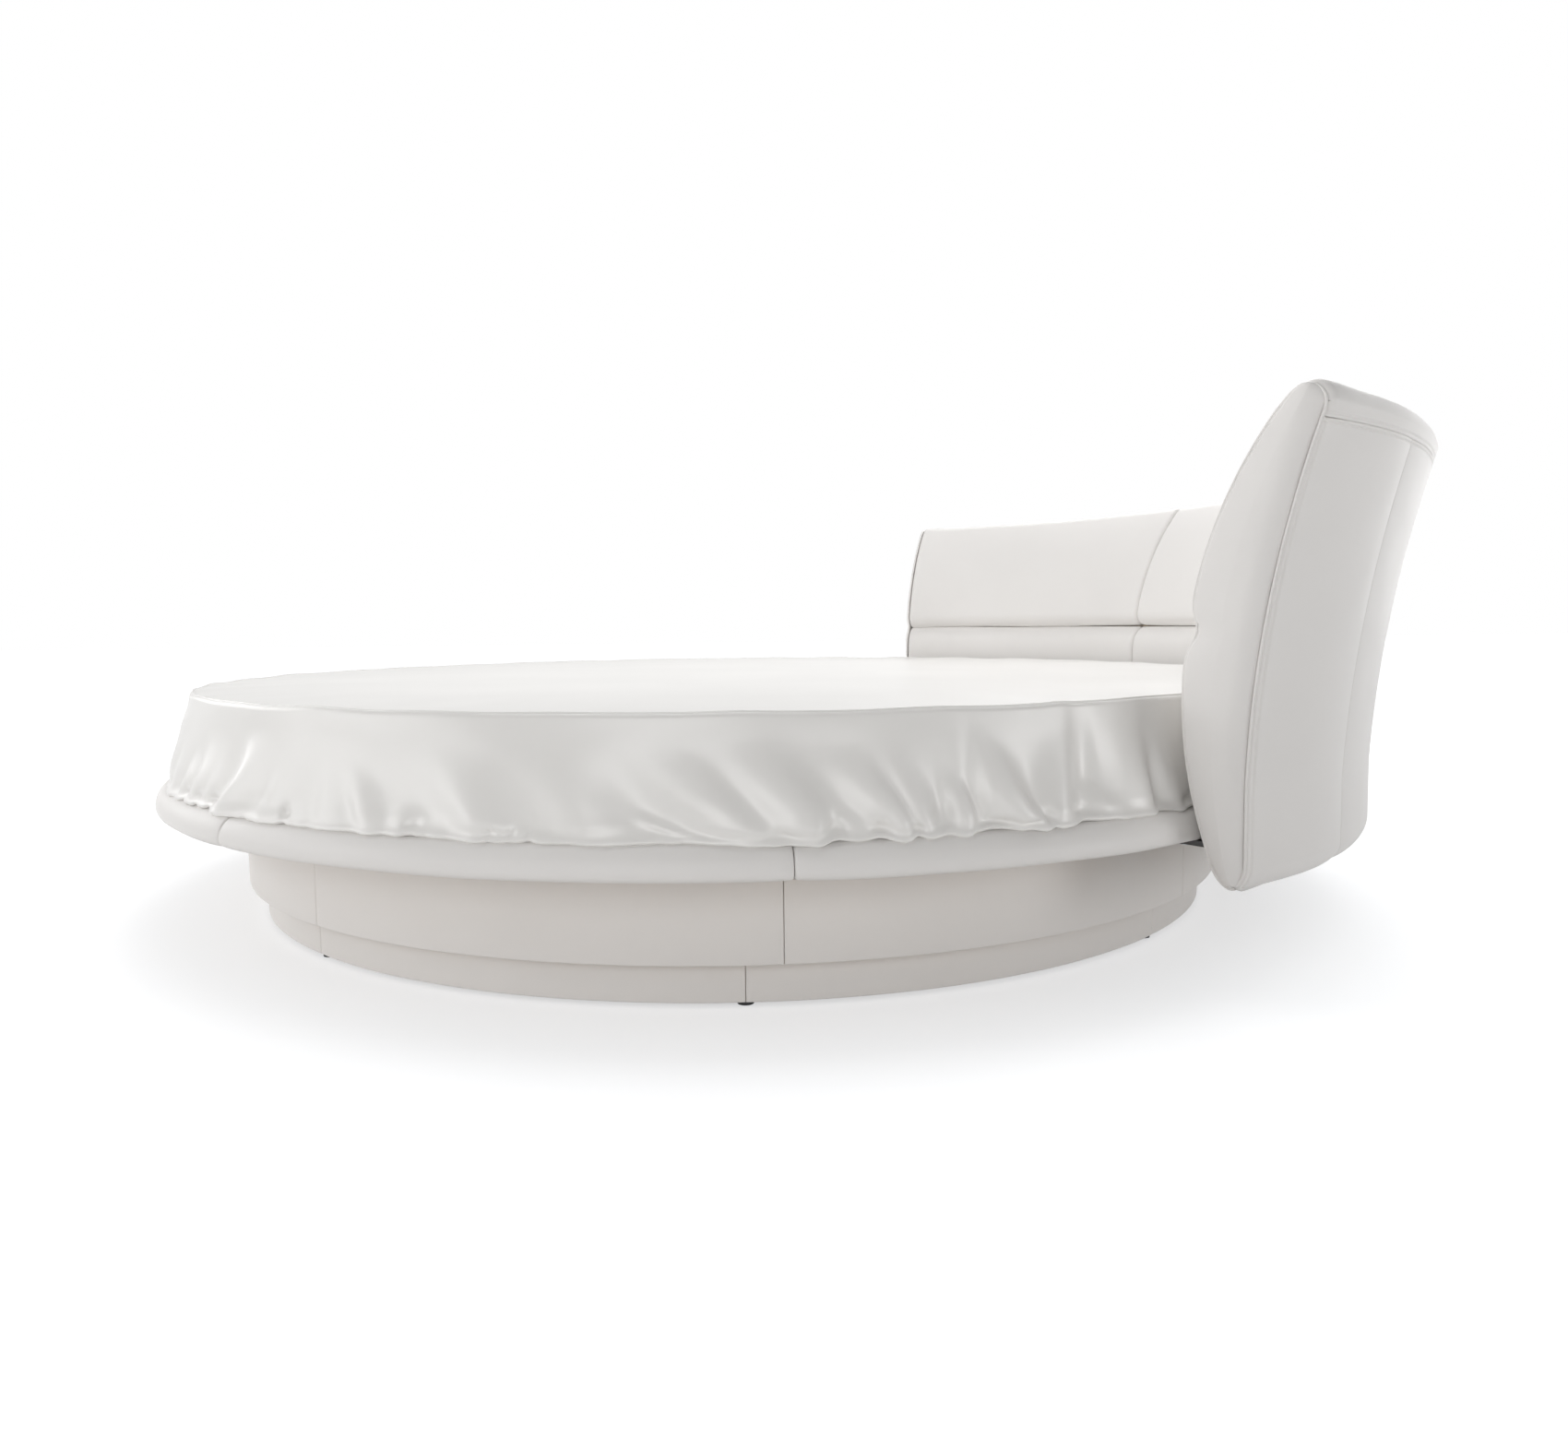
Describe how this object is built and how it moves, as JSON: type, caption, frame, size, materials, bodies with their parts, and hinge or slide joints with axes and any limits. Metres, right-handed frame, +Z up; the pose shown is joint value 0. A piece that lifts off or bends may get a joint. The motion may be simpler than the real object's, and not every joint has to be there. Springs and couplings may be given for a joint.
{
  "type": "round bed",
  "caption": "Round bed with a curved, leaning, padded leather headboard, a padded rim and a fitted sheet, turning on a recessed plinth.",
  "frame": {"origin": "on the floor, on the bed's upright middle axis", "axes": "+Z up, +Y towards the headboard, +X to the right of someone facing the headboard"},
  "size_m": [2.335, 2.5303, 0.8504],
  "materials": {
    "leather": "fine-grained off-white upholstery leather",
    "satin": "off-white cotton satin with a soft sheen",
    "ticking": "woven mattress ticking",
    "beech": "lacquered laminated beech",
    "plywood": "bare birch plywood",
    "zinc_steel": "zinc-plated steel",
    "bracket_steel": "black powder-coated steel",
    "nylon": "natural nylon",
    "glide_plastic": "black plastic"
  },
  "bodies": {
    "plinth": {"centre_glide": "glide_plastic", "centre_pivot": "zinc_steel", "floor_glides": "glide_plastic", "plinth_beams": "plywood", "plinth_cover_1": "leather", "plinth_cover_2": "leather", "plinth_cover_3": "leather", "plinth_cover_4": "leather", "plinth_cover_5": "leather", "plinth_cover_6": "leather", "plinth_cover_7": "leather", "plinth_cover_8": "leather", "plinth_hoop": "plywood", "plinth_hub": "plywood", "slide_pads": "nylon", "turntable_lower_plate": "zinc_steel", "turntable_slide_ring": "nylon"},
    "bed": {"base_cover_1": "leather", "base_cover_2": "leather", "base_cover_3": "leather", "base_cover_4": "leather", "base_cover_5": "leather", "base_cover_6": "leather", "base_cover_7": "leather", "base_cover_8": "leather", "base_hoop": "plywood", "bottom_ledge": "plywood", "bracket_bolts": "zinc_steel", "cross_beam": "plywood", "headboard_back_1": "leather", "headboard_back_2": "leather", "headboard_back_3": "leather", "headboard_back_4": "leather", "headboard_back_5": "leather", "headboard_brackets": "bracket_steel", "headboard_core": "plywood", "headboard_end_left": "leather", "headboard_end_right": "leather", "headboard_lower_cushion_1": "leather", "headboard_lower_cushion_2": "leather", "headboard_lower_cushion_3": "leather", "headboard_upper_cushion_1": "leather", "headboard_upper_cushion_2": "leather", "headboard_upper_cushion_3": "leather", "long_beam": "plywood", "rim_board": "plywood", "rim_section_1": "leather", "rim_section_2": "leather", "rim_section_3": "leather", "rim_section_4": "leather", "rim_section_5": "leather", "rim_section_6": "leather", "rim_section_7": "leather", "rim_section_8": "leather", "slat_ledge": "plywood", "slats_left": "beech", "slats_right": "beech", "turntable_upper_plate": "zinc_steel"},
    "mattress": {"mattress": "ticking", "sheet": "satin"}
  },
  "joints": [
    {"name": "bed_swivel", "type": "hinge", "parent": "plinth", "child": "bed", "pos_m": [0, 0, 0.069], "axis": [0, 0, 1], "continuous": true},
    {"name": "mattress_lift", "type": "slide", "parent": "bed", "child": "mattress", "axis": [0, 0, 1], "range_m": [0, 0.65]}
  ]
}
